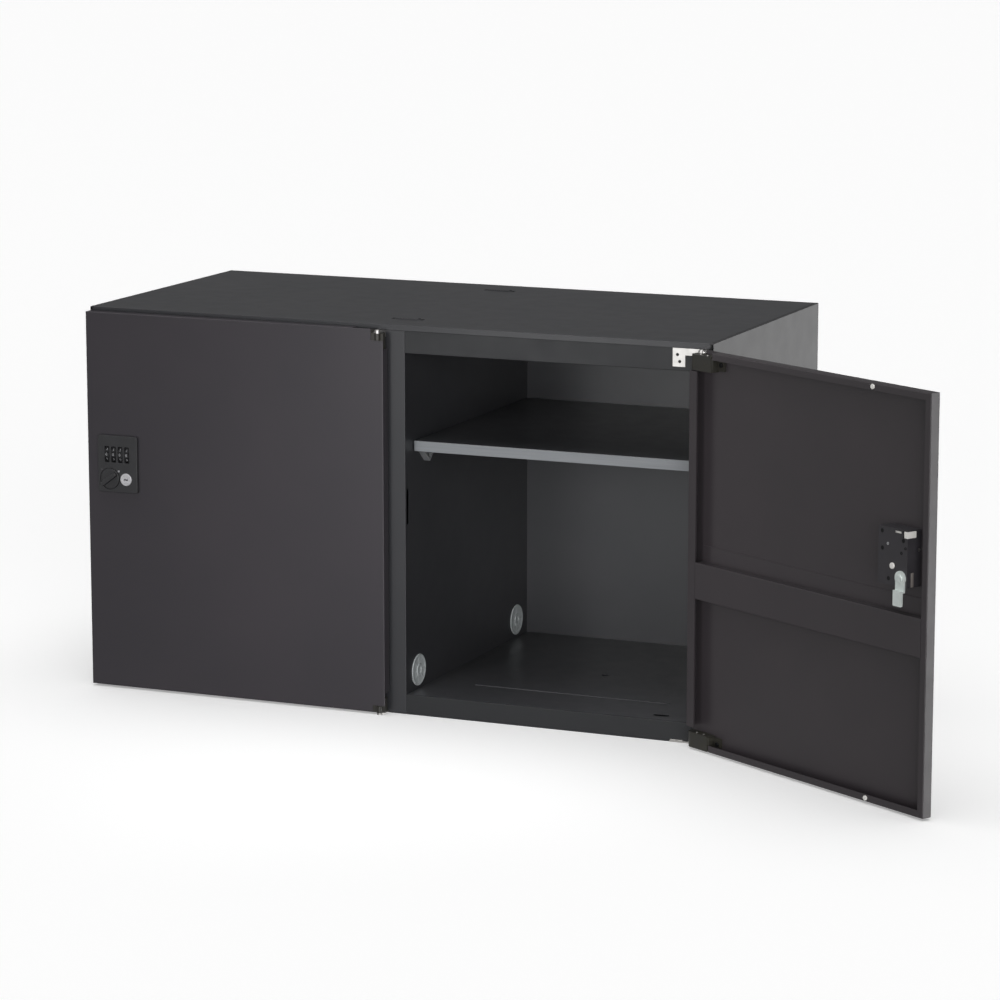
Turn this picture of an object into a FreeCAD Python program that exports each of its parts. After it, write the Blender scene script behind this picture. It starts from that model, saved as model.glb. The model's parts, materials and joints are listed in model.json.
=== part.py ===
import FreeCAD, Part
import math
import os

"""Two-door steel parcel drop box.

Millimetres, +Z up, +X to the right as seen from the front, doors facing -Y.
The origin is the centre of the carcass underside. The left door is closed and
the right door stands open about its hinge pins.
"""

V = FreeCAD.Vector
X_AXIS, Y_AXIS, Z_AXIS = V(1, 0, 0), V(0, 1, 0), V(0, 0, 1)
TOUCH = 0.5          # how far a cutting tool runs past the face it cuts

# ---------------------------------------------------------------- carcass
cabinet_width = 900.0
cabinet_depth = 420.0        # frame front to back panel, doors not counted
cabinet_height = 525.0
sheet = 1.0                  # steel sheet of carcass and doors
bend_radius = 0.8            # outside a fold of the carcass
wall_thickness = 25.0        # double side wall, also the stile width
partition_thickness = 38.0   # double centre wall, also the post width
top_edge_height = 7.5        # front and rear turn-down of the top panel
top_rail_height = 30.0
floor_height = 27.0          # top of the floor trays above the underside
rail_return = 20.0
bottom_rail_return = 2.4     # short turn of a bottom rail up to the floor tray
hem_width = 4.0              # folded top edge of a side panel
hem_drop = 12.0
seam = 0.5                   # gap between two panels that meet
back_press_depth = 3.0       # stiffening panels pressed into the back
back_press_margin = 45.0

# lances pressed up from the top panel, over the centre wall
lance_length = 36.0
lance_width = 9.0
lance_rise = 1.5
lance_slot = 5.0
lance_inset = 55.0           # from the front and from the back

# floor holes and bead
anchor_slot_length = 22.0
anchor_slot_radius = 5.5
anchor_inset_x = 77.0
anchor_inset_y = 27.0
drain_radius = 5.0
bead_length = 280.0
bead_radius = 1.5
bead_inset = 88.0

# ---------------------------------------------------------------- shelves
shelf_height = 367.0         # top face above the underside
shelf_thickness = 14.0
shelf_setback = 27.0         # from the frame front to the shelf edge
shelf_rear_gap = 4.0
shelf_side_gap = 1.5
trim_thickness = 1.2
trim_corner = 0.5
clip_inset = 61.0            # clip apex behind the frame front
clip_half_length = 19.0
clip_drop = 18.0
clip_strip = 2.0
clip_apex = 2.4              # height of the strip at the bottom of the V
clip_width = 9.0
clip_foot = 5.0
clip_peg = 6.0

# caps on the centre wall
cap_radius = 21.5
cap_flange = 1.6
cap_edge = 0.8
cap_hub_height = 2.56
cap_plug_wall = 1.5
cap_plug_radius = 17.0
cap_plug_length = 6.0
cap_hub_radius = 6.0
cap_height = 52.5
cap_inset = 41.0

# ---------------------------------------------------------------- doors
door_thickness = 15.0
door_gap = 2.5               # frame front to the door's lips
door_side_margin = 2.0
door_centre_margin = 4.0     # each door edge to the cabinet's centre line
door_top_margin = 5.0
door_bottom_margin = 3.0
door_bend = 1.5
door_lip = 9.0
door_hinge_lip = 15.0
right_door_open = 150.0      # degrees

stiffener_bottom = 199.0
stiffener_height = 48.0
stiffener_flange = 21.0
bumper_radius = 3.2
bumper_height = 1.6
bumper_inset = 101.0         # from the free edge

# ---------------------------------------------------------------- hinges
pivot_inset_x = 8.5          # from the door's hinge edge
pivot_inset_y = 2.0          # behind the door's outer face
pin_radius = 2.5
pin_clearance = 0.05
knuckle_radius = 4.25
hinge_notch_clearance = 1.3  # from a hinge block to the end of its notch
hinge_notch_width = 45.0
face_notch_reach = 9.3       # notch edge from the pivot
block_height = 20.0
block_width = 42.0
block_corner = 7.0
block_gap = 0.5
knuckle_height = 9.0
foot_length = 14.0           # screwed foot of a hinge block
foot_thickness = 3.0
foot_inset_outside = 6.0     # from the block's outer end, the one next to its tab
foot_inset_inside = 2.0
foot_screw_radius = 3.2
foot_screw_head = 1.6
foot_screw_x = 8.0           # from the block
bracket_thickness = 1.4
bracket_leg_width = 17.0
bracket_leg_height = 24.0
bracket_arm_height = 9.0
bracket_leg_reach = 44.5     # leg's far edge from the pivot
tab_thickness = 2.2
tab_drop = 3.0               # from the door's top or bottom edge to the tab
pin_head_height = 2.2
pin_head_edge = 1.54
bracket_screw_radius = 2.0
BRACKET_SCREWS = ((6.5, 8.4), (9.5, 17.3))   # from the leg's outer edge and top

# ---------------------------------------------------------------- lock
plate_width = 60.0
plate_height = 78.0
plate_thickness = 5.5
plate_corner = 3.0
plate_edge = 0.8
skin_opening_margin = 6.0    # from the plate's top and bottom to the skin's opening
plate_inset = 18.3           # from the free edge
plate_bottom = 275.0
case_inset = 26.4
case_width = 51.0
case_height = 70.0
case_bottom = 282.0
case_proud = 8.0             # beyond the door's lips
case_wall = 2.0
case_corner = 2.0
knob_inset = 36.5
knob_height = 293.5
knob_radius = 14.0
knob_disc = 2.5
knob_gap = 0.2               # disc to the floor of its pocket
knob_pocket_radius = 15.2
knob_pocket_depth = 1.8
knob_edge = 0.8
knob_grip_width = 6.5
knob_grip_height = 5.0
knob_grip_edge = 1.0
knob_grip_end = 2.93
knob_grip_inset = 0.6        # grip's ends inside the disc's rim
knob_angle = 37.0            # grip bar above horizontal
spindle_radius = 4.0
lock_clearance = 0.08        # running clearance of the lock's turning pieces
key_inset = 61.3
barrel_radius = 8.5
plug_radius = 5.6
barrel_proud = 1.2
barrel_end = 3.0             # closed inner end
plug_length = 16.0
plug_sunk = 0.4              # behind the barrel's rim
keyway_width = 2.4
keyway_length = 6.4
keyway_depth = 9.0
dial_count = 4
dial_pitch = 10.1
dial_first_inset = 32.4
dial_height = 327.0
dial_radius = 12.0
dial_width = 6.5
dial_proud = 2.2
dial_edge = 0.6
dial_window_width = 7.3
dial_window_height = 22.0
dial_window_corner = 1.5
dial_relief = 0.5            # plate hollowed round each dial
shaft_radius = 2.0
cam_width = 15.0
cam_head = 8.7               # pivot to the rounded end
cam_reach = 34.0             # pivot to the catching end
cam_step = 15.0              # pivot to the joggle
cam_thickness = 2.4
cam_joggle = 3.6
cam_corner = 1.5
cam_gap = 0.3
cam_screw_radius = 4.2
cam_screw_head = 2.0
cam_screw_slot = 1.0
cam_slot_above = 11.0
cam_slot_below = 36.0
cam_slot_front = 4.0         # behind the frame face
cam_slot_rear = 11.8
lever_width = 5.0            # thumb piece, along the door
lever_depth = 13.8           # thumb piece, behind the case's inner face
lever_proud = 0.8            # thumb piece, beyond the case's inner face
lever_height = 8.0
lever_below_top = 1.5        # thumb piece's upper side, below the case's top
lever_travel = 3.5
lever_arm_length = 21.0      # beyond the thumb piece
lever_arm_height = 3.4
lever_arm_thickness = 2.0
lever_slot_inset = 11.0      # from the case's outer side
lever_slot_length = 12.5
lever_slot_height = 3.0
lever_gap = 0.3
button_radius = 3.8
button_proud = 1.8
button_inside = 1.5
button_x = 52.0
button_z = 306.0
small_edge = 0.6             # rounding of the small moulded pieces
CASE_SCREWS = ((7.6, 13.2), (44.7, 6.1), (43.9, 26.9), (32.4, 62.5))   # from its outer side and top
case_screw_radius = 2.6
case_screw_recess = 2.8
case_screw_head = 0.8
case_screw_depth = 1.0

# ---------------------------------------------------------------- worked out
half_width = cabinet_width / 2
front = -cabinet_depth / 2
back = cabinet_depth / 2
frame_face = front + sheet              # rails, stiles and post sit one sheet back
half_partition = partition_thickness / 2
wall_inner = half_width - wall_thickness
top_frame = cabinet_height - top_edge_height
rail_bottom = top_frame - top_rail_height
back_inner = back - sheet
door_inner = front - door_gap
door_outer = door_inner - door_thickness
door_skin = door_outer + sheet          # inner side of the outer skin
door_width = half_width - door_side_margin - door_centre_margin
door_bottom = door_bottom_margin
door_top = cabinet_height - door_top_margin
pivot_y = door_outer + pivot_inset_y
hinge_notch_height = tab_drop + tab_thickness + seam + block_height + hinge_notch_clearance
case_face = door_inner + case_proud
DOORS = {"left": -half_width + door_side_margin, "right": door_centre_margin}
COMPARTMENTS = {"left": (-wall_inner, -half_partition), "right": (half_partition, wall_inner)}


def box(x0, y0, z0, x1, y1, z1):
    """Box between two corners."""
    return Part.makeBox(x1 - x0, y1 - y0, z1 - z0, V(x0, y0, z0))


def rod(radius, start, direction, length):
    """Solid cylinder from a start point."""
    return Part.makeCylinder(radius, length, start, direction)


def rounded_box(x0, y0, z0, x1, y1, z1, radius, axis):
    """Box whose four edges along one axis are rounded."""
    solid = box(x0, y0, z0, x1, y1, z1)
    edges = [e for e in solid.Edges
             if abs((e.Vertexes[1].Point - e.Vertexes[0].Point).normalize().dot(axis)) > 0.99]
    return solid.makeFillet(radius, edges)


def bend(shape, axis, places):
    """Shape whose folds are rounded outside: straight edges along an axis, at places across it."""
    across = [i for i in range(3) if not axis[i]]
    folds = []
    for edge in shape.Edges:
        along = abs(edge.tangentAt(edge.FirstParameter).dot(axis)) > 1 - 1e-6
        at = [edge.CenterOfMass[i] for i in across]
        if along and any(math.dist(at, place) < 1e-6 for place in places):
            folds.append(edge)
    return shape.makeFillet(bend_radius, folds)


def prism(points, direction):
    """Solid swept from a closed outline of points."""
    return Part.Face(Part.makePolygon(list(points) + [points[0]])).extrude(direction)


def slot_cutter(x, y, z0, z1, length, radius):
    """Upright obround cutter, long along X."""
    reach = length / 2 - radius
    core = box(x - reach, y - radius, z0, x + reach, y + radius, z1)
    ends = [rod(radius, V(x + s * reach, y, z0), Z_AXIS, z1 - z0) for s in (-1, 1)]
    return core.multiFuse(ends).removeSplitter()


def fuse(shapes):
    """One solid from shapes that touch or overlap."""
    return shapes[0].multiFuse(shapes[1:]).removeSplitter()


def export(name, shape):
    """Write one named sub-part."""
    shape.exportStep(os.path.join("parts", name + ".step"))


# ================================================================ carcass
def side_panel(side):
    """Double side wall: outer skin, folded stile, inner skin and top hem."""
    s = -1 if side == "left" else 1
    outer, inner = s * half_width, s * wall_inner

    def slab(x0, x1, y0, y1, z0, z1):
        return box(min(x0, x1), y0, z0, max(x0, x1), y1, z1)

    pieces = [
        slab(outer, outer - s * sheet, front, back, 0, cabinet_height),
        slab(outer, inner, frame_face, frame_face + sheet, 0, top_frame - seam),
        slab(inner, inner + s * sheet, frame_face, back_inner - seam, 0, top_frame - seam),
        slab(outer, outer - s * hem_width, front, back, cabinet_height - sheet, cabinet_height),
        slab(outer - s * (hem_width - sheet), outer - s * hem_width, front, back_inner - seam,
             cabinet_height - hem_drop, cabinet_height),
        slab(outer, outer - s * wall_thickness, front + sheet, back_inner - seam, 0, sheet),
    ]
    wall = bend(fuse(pieces), Z_AXIS, [(outer, front), (inner, frame_face)])
    wall = bend(wall, Y_AXIS, [(outer, cabinet_height)])
    if side == "left":
        wall = wall.cut(cam_slot(inner, s))
    else:
        pivot = pivot_x("right")
        wall = wall.cut(bracket_passage(pivot))
    return wall.cut(clip_holes(inner))


def cam_slot(face_x, s):
    """Slot through one wall skin where a lock cam catches."""
    return box(face_x - 2 * sheet, frame_face + cam_slot_front, knob_height - cam_slot_below,
               face_x + 2 * sheet, frame_face + cam_slot_rear, knob_height + cam_slot_above)


def partition():
    """Double centre wall: post face and two skins."""
    h = half_partition
    pieces = [
        box(-h, frame_face, sheet + seam, h, frame_face + sheet, top_frame - seam),
        box(-h, frame_face, sheet + seam, -h + sheet, back_inner - seam, top_frame - seam),
        box(h - sheet, frame_face, sheet + seam, h, back_inner - seam, top_frame - seam),
    ]
    wall = bend(fuse(pieces), Z_AXIS, [(-h, frame_face), (h, frame_face)])
    wall = wall.cut(cam_slot(h, 1)).cut(bracket_passage(pivot_x("left")))
    for y in cap_places():
        wall = wall.cut(rod(cap_plug_radius + seam, V(-h - TOUCH, y, cap_height), X_AXIS,
                            partition_thickness + 2 * TOUCH))
    return wall.cut(clip_holes(-h)).cut(clip_holes(h))


def cap_places():
    """Depths of the caps on the centre wall."""
    return (front + cap_inset, back - cap_inset)


def top_panel():
    """Top sheet between the side hems, turned down at front and back."""
    x = half_width - hem_width - seam
    pieces = [
        box(-x, front, cabinet_height - sheet, x, back, cabinet_height),
        box(-x, front, top_frame, x, front + sheet, cabinet_height),
        box(-x, back - sheet, top_frame, x, back, cabinet_height),
    ]
    panel = bend(fuse(pieces), X_AXIS, [(front, cabinet_height), (back, cabinet_height)])
    for y in (front + lance_inset, back - lance_inset):
        reach = lance_length / 2
        for s in (-1, 1):
            x0 = s * (reach + lance_slot / 2)
            panel = panel.cut(box(x0 - lance_slot / 2, y - lance_width / 2, cabinet_height - sheet - TOUCH,
                                  x0 + lance_slot / 2, y + lance_width / 2, cabinet_height + TOUCH))
        y0, ramp = y - lance_width / 2, 2 * lance_rise
        bridge = prism([V(-reach, y0, cabinet_height - sheet), V(reach, y0, cabinet_height - sheet),
                        V(reach - ramp, y0, cabinet_height + lance_rise),
                        V(ramp - reach, y0, cabinet_height + lance_rise)], V(0, lance_width, 0))
        panel = panel.fuse(bridge)
    return panel.removeSplitter()


def bottom_panel():
    """Base sheet with the anchor slots."""
    x = wall_inner - seam
    panel = box(-x, front + sheet, 0, x, back_inner - seam, sheet)
    for side in DOORS:
        panel = panel.cut(bracket_passage(pivot_x(side)))
    for cutter in floor_holes(-TOUCH, sheet + TOUCH):
        panel = panel.cut(cutter)
    return panel


def floor_holes(z0, z1):
    """Anchor slots near the four corners and a drain hole in each compartment."""
    cutters = []
    for sx in (-1, 1):
        for sy in (-1, 1):
            cutters.append(slot_cutter(sx * (half_width - anchor_inset_x), sy * (-front - anchor_inset_y),
                                       z0, z1, anchor_slot_length, anchor_slot_radius))
    for x0, x1 in COMPARTMENTS.values():
        cutters.append(rod(drain_radius, V((x0 + x1) / 2, 0, z0), Z_AXIS, z1 - z0))
    return cutters


def floor_tray(side):
    """Raised compartment floor, turned down all round, with a pressed bead."""
    x0, x1 = COMPARTMENTS[side]
    x0, x1 = x0 + seam, x1 - seam
    y0, y1 = frame_face + bottom_rail_return + seam, back_inner - seam
    tray = bend(box(x0, y0, sheet, x1, y1, floor_height), X_AXIS, [(y0, floor_height), (y1, floor_height)])
    tray = tray.cut(box(x0 + sheet, y0 + sheet, 0, x1 - sheet, y1 - sheet, floor_height - sheet))
    for cutter in floor_holes(floor_height - sheet - TOUCH, floor_height + TOUCH):
        tray = tray.cut(cutter)
    middle = (x0 + x1) / 2
    bead = rod(bead_radius, V(middle - bead_length / 2, front + bead_inset, floor_height - sheet / 2),
               X_AXIS, bead_length)
    return tray.fuse(bead).removeSplitter()


def rail_span(side):
    """Left and right ends of a compartment's front rails."""
    x0, x1 = COMPARTMENTS[side]
    return x0 + seam, x1 - seam


def top_rail(side):
    """Front rail over an opening, returned inward along its lower edge."""
    x0, x1 = rail_span(side)
    face = box(x0, frame_face, rail_bottom, x1, frame_face + sheet, top_frame - seam)
    turn = box(x0, frame_face, rail_bottom, x1, frame_face + rail_return, rail_bottom + sheet)
    return bend(fuse([face, turn]), X_AXIS, [(frame_face, rail_bottom)])


def bottom_rail(side):
    """Front rail under an opening, with a short return that meets the floor tray."""
    x0, x1 = rail_span(side)
    face = box(x0, frame_face, sheet + seam, x1, frame_face + sheet, floor_height)
    turn = box(x0, frame_face, floor_height - sheet, x1, frame_face + bottom_rail_return, floor_height)
    rail = bend(fuse([face, turn]), X_AXIS, [(frame_face, floor_height)])
    return rail.cut(bracket_passage(pivot_x(side)))


def back_panel():
    """Back sheet with one stiffening field pressed into each bay."""
    x = half_width - sheet - seam
    panel = box(-x, back_inner, sheet, x, back, top_frame - seam)
    for x0, x1 in COMPARTMENTS.values():
        m = back_press_margin
        outer = box(x0 + m, back_inner - back_press_depth, m, x1 - m, back_inner, top_frame - m)
        inner = box(x0 + m + sheet, back_inner - back_press_depth + sheet, m + sheet,
                    x1 - m - sheet, back + TOUCH, top_frame - m - sheet)
        panel = panel.fuse(outer).cut(inner)
    return panel.removeSplitter()


# ================================================================ shelves
def shelf_span(side):
    """Left and right ends of a compartment's shelf."""
    x0, x1 = COMPARTMENTS[side]
    return x0 + shelf_side_gap, x1 - shelf_side_gap


def shelf(side):
    """Shelf board: top sheet turned down all round."""
    x0, x1 = shelf_span(side)
    y0, y1 = front + shelf_setback + trim_thickness, back_inner - shelf_rear_gap
    board = bend(box(x0, y0, shelf_height - shelf_thickness, x1, y1, shelf_height), X_AXIS,
                 [(y1, shelf_height)])
    board = bend(board, Y_AXIS, [(x0, shelf_height), (x1, shelf_height)])
    return board.cut(box(x0 + sheet, y0 + sheet, shelf_height - shelf_thickness - TOUCH,
                         x1 - sheet, y1 - sheet, shelf_height - sheet))


def shelf_trim(side):
    """Light edging on the shelf's front."""
    x0, x1 = shelf_span(side)
    y0 = front + shelf_setback
    return rounded_box(x0, y0, shelf_height - shelf_thickness, x1, y0 + trim_thickness, shelf_height,
                       trim_corner, X_AXIS)


def clip_places():
    """Depth of each clip's apex."""
    return (front + clip_inset, back - clip_inset)


def clip_holes(face_x):
    """Holes for the clips' pegs in a wall skin."""
    top = shelf_height - shelf_thickness
    reach = clip_foot / 2 + seam / 2
    cutters = []
    for y in clip_places():
        for s in (-1, 1):
            peg_y = y + s * (clip_half_length - clip_foot / 2)
            cutters.append(box(face_x - 2 * sheet, peg_y - reach, top - clip_strip - seam / 2,
                               face_x + 2 * sheet, peg_y + reach, top + seam / 2))
    return Part.makeCompound(cutters)


def shelf_clip(face_x, inward, y):
    """Bent strip in a V, with two feet under the shelf and two pegs in the wall."""
    top = shelf_height - shelf_thickness
    outline = [V(0, -clip_half_length, top), V(0, -clip_half_length + clip_foot, top),
               V(0, -clip_half_length + clip_foot, top - clip_strip),
               V(0, 0, top - clip_drop + clip_apex),
               V(0, clip_half_length - clip_foot, top - clip_strip),
               V(0, clip_half_length - clip_foot, top), V(0, clip_half_length, top),
               V(0, clip_half_length, top - clip_strip), V(0, 0, top - clip_drop),
               V(0, -clip_half_length, top - clip_strip)]
    strip = prism(outline, V(inward * clip_width, 0, 0))
    strip.translate(V(face_x + inward * seam / 2, y, 0))
    pegs = []
    for s in (-1, 1):
        peg_y = y + s * (clip_half_length - clip_foot / 2)
        x0, x1 = sorted((face_x + inward, face_x - inward * clip_peg))
        pegs.append(box(x0, peg_y - clip_foot / 2, top - clip_strip, x1, peg_y + clip_foot / 2, top))
    return fuse([strip] + pegs)


def shelf_clips():
    """Four clips in each compartment."""
    clips = []
    for x0, x1 in COMPARTMENTS.values():
        for y in clip_places():
            clips.append(shelf_clip(x0, 1, y))
            clips.append(shelf_clip(x1, -1, y))
    return Part.makeCompound(clips)


def wall_cap(s, y):
    """Push-in cap with a raised hub; its plug enters the centre wall's skin."""
    face = s * half_partition
    flange = rod(cap_radius, V(face, y, cap_height), V(s, 0, 0), cap_flange)
    flange = flange.makeFillet(cap_edge, [max(flange.Edges, key=lambda e: s * e.CenterOfMass.x)])
    hub = rod(cap_hub_radius, V(face, y, cap_height), V(s, 0, 0), cap_hub_height)
    plug = rod(cap_plug_radius, V(face, y, cap_height), V(-s, 0, 0), cap_plug_length)
    bore = rod(cap_plug_radius - cap_plug_wall, V(face, y, cap_height), V(-s, 0, 0), cap_plug_length + TOUCH)
    return fuse([flange, hub, plug.cut(bore)])


# ================================================================ hinges
def pivot_x(side):
    """Where a door's pins stand across the cabinet."""
    return DOORS[side] + door_width - pivot_inset_x


def bracket_passage(pivot):
    """Way for a lower bracket's plate through the frame's front edge."""
    return box(pivot - bracket_leg_reach - seam, front - TOUCH, -TOUCH,
               pivot + knuckle_radius + seam, frame_face + sheet + bracket_thickness + seam,
               door_bottom + seam / 2)


def hinge_tab(pivot, z0):
    """Flat tab that reaches forward from the frame to the pin."""
    r = knuckle_radius
    arm = box(pivot - r, pivot_y, z0, pivot + r, frame_face - bracket_thickness / 2, z0 + tab_thickness)
    eye = rod(r, V(pivot, pivot_y, z0), Z_AXIS, tab_thickness)
    hole = rod(pin_radius, V(pivot, pivot_y, z0 - TOUCH), Z_AXIS, tab_thickness + 2 * TOUCH)
    return fuse([arm, eye]).cut(hole)


def upper_tab_z():
    """Lower side of an upper bracket's tab."""
    return door_top - tab_drop - tab_thickness


def upper_bracket(side):
    """L-shaped plate on the top rail with a tab for the pin."""
    pivot = pivot_x(side)
    y0, y1 = frame_face - bracket_thickness, frame_face
    top = upper_tab_z() + tab_thickness
    left = pivot - bracket_leg_reach
    leg = box(left, y0, top - bracket_leg_height, left + bracket_leg_width, y1, top)
    arm = box(left, y0, top - bracket_arm_height, pivot + knuckle_radius, y1, top)
    plate = fuse([leg, arm, hinge_tab(pivot, upper_tab_z())])
    for x, z in bracket_screw_places(side):
        plate = plate.cut(rod(bracket_screw_radius + seam / 4, V(x, y0 - TOUCH, z), Y_AXIS,
                              bracket_thickness + 2 * TOUCH))
    return plate


def bracket_screw_places(side):
    """Two screws in an upper bracket's leg."""
    left = pivot_x(side) - bracket_leg_reach
    top = upper_tab_z() + tab_thickness
    return [(left + inset, top - drop) for inset, drop in BRACKET_SCREWS]


def lower_bracket_z():
    """Underside of a lower bracket's plate."""
    return door_bottom - seam - tab_thickness


def lower_bracket(side):
    """Flat plate under the door with an upturned flange behind the rail's face."""
    pivot = pivot_x(side)
    z0 = lower_bracket_z()
    left = pivot - bracket_leg_reach
    y0 = frame_face + sheet
    y1 = y0 + bracket_thickness
    plate = box(left, front - door_gap / 2, z0, pivot + knuckle_radius, y1, z0 + tab_thickness)
    flange = box(left, y0, z0, left + bracket_leg_width, y1, floor_height - 3 * sheet)
    return fuse([plate, flange, hinge_tab(pivot, z0)])


def hinge_pin(side, upper):
    """Pin through a tab and its knuckle; the upper one has a domed head."""
    pivot = pivot_x(side)
    length = tab_thickness + seam + knuckle_height
    if not upper:
        return rod(pin_radius, V(pivot, pivot_y, lower_bracket_z()), Z_AXIS, length)
    top = upper_tab_z() + tab_thickness
    shank = rod(pin_radius, V(pivot, pivot_y, top - length), Z_AXIS, length)
    head = rod(knuckle_radius - seam, V(pivot, pivot_y, top), Z_AXIS, pin_head_height)
    rim = max(head.Edges, key=lambda e: e.CenterOfMass.z)
    return fuse([shank, head.makeFillet(pin_head_edge, [rim])])


def bracket_screws():
    """Flush screws in the upper brackets' legs."""
    return [rod(bracket_screw_radius, V(x, frame_face - bracket_thickness, z), Y_AXIS, bracket_thickness)
            for side in DOORS for x, z in bracket_screw_places(side)]


# ================================================================ doors
def door_shell(side):
    """Folded pan: outer skin, four walls and the lips turned in behind."""
    x0 = DOORS[side]
    x1 = x0 + door_width
    body = box(x0, door_outer, door_bottom, x1, door_inner, door_top)
    body = body.makeFillet(door_bend, [e for e in body.Edges
                                       if abs(e.tangentAt(e.FirstParameter).y) < 0.5])
    cavity = box(x0 + sheet, door_skin, door_bottom + sheet, x1 - sheet, door_inner - sheet, door_top - sheet)
    mouth = box(x0 + door_lip, door_skin, door_bottom + door_lip,
                x1 - door_hinge_lip, door_inner + TOUCH, door_top - door_lip)
    shell = body.cut(cavity).cut(mouth)
    for upper in (True, False):
        shell = shell.cut(hinge_notch(side, upper))
    opening = box(x0 + case_inset + case_wall, door_outer - TOUCH, plate_bottom + skin_opening_margin,
                  x0 + case_inset + case_width - case_wall, door_skin + TOUCH,
                  plate_bottom + plate_height - skin_opening_margin)
    return shell.cut(opening)


def block_span(upper):
    """Lower and upper ends of a hinge block."""
    if upper:
        z1 = upper_tab_z() - seam
        return z1 - block_height, z1
    z0 = lower_bracket_z() + tab_thickness + seam
    return z0, z0 + block_height


def knuckle_span(upper):
    """Lower and upper ends of a block's knuckle, at the end next to the tab."""
    z0, z1 = block_span(upper)
    return (z1 - knuckle_height, z1) if upper else (z0, z0 + knuckle_height)


def hinge_notch(side, upper):
    """Cutter for a door corner: walls and lips round the block, skin round the knuckle."""
    x1 = DOORS[side] + door_width
    knuckle_z0, knuckle_z1 = knuckle_span(upper)
    if upper:
        wall_z = (door_top - hinge_notch_height, door_top + TOUCH)
        skin_z = (knuckle_z0 - seam, door_top + TOUCH)
    else:
        wall_z = (-TOUCH, door_bottom + hinge_notch_height)
        skin_z = (-TOUCH, knuckle_z1 + seam)
    walls = box(x1 - hinge_notch_width, door_skin, wall_z[0], x1 + TOUCH, door_inner + TOUCH, wall_z[1])
    skin = box(pivot_x(side) - face_notch_reach, door_outer - TOUCH, skin_z[0],
               x1 + TOUCH, door_skin + TOUCH, skin_z[1])
    return fuse([walls, skin])


def door_stiffener(side):
    """Channel across the door, its face level with the lips and a flange on the skin."""
    x0 = DOORS[side] + door_lip + seam
    x1 = DOORS[side] + door_width - door_hinge_lip - seam
    z0 = stiffener_bottom
    z1 = z0 + stiffener_height
    face = box(x0, door_inner - sheet, z0, x1, door_inner, z1)
    lower = box(x0, door_skin, z0, x1, door_inner, z0 + sheet)
    upper = box(x0, door_skin, z1 - sheet, x1, door_inner, z1)
    flange = box(x0, door_skin, z1 - sheet, x1, door_skin + sheet, z1 + stiffener_flange)
    return bend(fuse([face, lower, upper, flange]), X_AXIS, [(door_inner, z0), (door_inner, z1)])


def hinge_block(side, upper):
    """Block in the door's corner with the knuckle that turns on the pin."""
    x1 = DOORS[side] + door_width
    pivot = pivot_x(side)
    z0, z1 = block_span(upper)
    body = box(x1 - block_width, door_skin, z0, x1 - block_gap, door_inner - block_gap, z1)
    corner = [e for e in body.Edges
              if abs(e.tangentAt(e.FirstParameter).z) > 0.9
              and e.CenterOfMass.x > x1 - 2 * block_gap and e.CenterOfMass.y > pivot_y]
    body = body.makeFillet(block_corner, corner)
    front_edge = box(pivot + knuckle_radius - seam, door_skin - TOUCH, z0 - TOUCH,
                     x1 + TOUCH, pivot_y, z1 + TOUCH)
    knuckle_z0, knuckle_z1 = knuckle_span(upper)
    knuckle = rod(knuckle_radius, V(pivot, pivot_y, knuckle_z0), Z_AXIS, knuckle_height)
    bore = rod(pin_radius + pin_clearance, V(pivot, pivot_y, knuckle_z0 - TOUCH), Z_AXIS,
               knuckle_height + 2 * TOUCH)
    below, above = foot_inset_outside, foot_inset_inside
    if upper:
        below, above = above, below
    foot = box(x1 - block_width - foot_length, door_skin, z0 + below,
               x1 - block_width, door_skin + foot_thickness, z1 - above)
    return fuse([body.cut(front_edge), knuckle, foot]).cut(bore)


def hinge_screw(side, upper):
    """Screw in a hinge block's foot."""
    x = DOORS[side] + door_width - block_width - foot_screw_x
    head = rod(foot_screw_radius, V(x, door_skin + foot_thickness, sum(block_span(upper)) / 2), Y_AXIS,
               foot_screw_head)
    return head.makeFillet(small_edge, [max(head.Edges, key=lambda e: e.CenterOfMass.y)])


def bumper(side, z):
    """Round pad stuck on a lip."""
    pad = rod(bumper_radius, V(DOORS[side] + bumper_inset, door_inner, z), Y_AXIS, bumper_height)
    return pad.makeFillet(small_edge, [max(pad.Edges, key=lambda e: e.CenterOfMass.y)])


# ================================================================ locks
def dial_places(side):
    """Middle of each dial across the door."""
    return [DOORS[side] + dial_first_inset + i * dial_pitch for i in range(dial_count)]


def dial_y():
    """Depth of the dials' shaft."""
    return door_outer - plate_thickness - dial_proud + dial_radius


def lock_plate(side):
    """Front plate with dial windows, a pocket for the knob and a hole for the key barrel."""
    x0 = DOORS[side] + plate_inset
    y0 = door_outer - plate_thickness
    depth = plate_thickness + 2 * TOUCH
    plate = rounded_box(x0, y0, plate_bottom, x0 + plate_width, door_outer,
                        plate_bottom + plate_height, plate_corner, Y_AXIS)
    plate = plate.makeFillet(plate_edge, [e for e in plate.Edges if abs(e.CenterOfMass.y - y0) < 1e-6])
    w, h = dial_window_width / 2, dial_window_height / 2
    for x in dial_places(side):
        plate = plate.cut(rounded_box(x - w, y0 - TOUCH, dial_height - h, x + w, door_outer + TOUCH,
                                      dial_height + h, dial_window_corner, Y_AXIS))
        plate = plate.cut(rod(dial_radius + dial_relief, V(x - w, dial_y(), dial_height), X_AXIS, 2 * w))
    for inset, radius in ((knob_inset, spindle_radius + lock_clearance), (key_inset, barrel_radius)):
        plate = plate.cut(rod(radius, V(DOORS[side] + inset, y0 - TOUCH, knob_height), Y_AXIS, depth))
    return plate.cut(rod(knob_pocket_radius, V(DOORS[side] + knob_inset, y0 - TOUCH, knob_height), Y_AXIS,
                         knob_pocket_depth + TOUCH))


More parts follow.
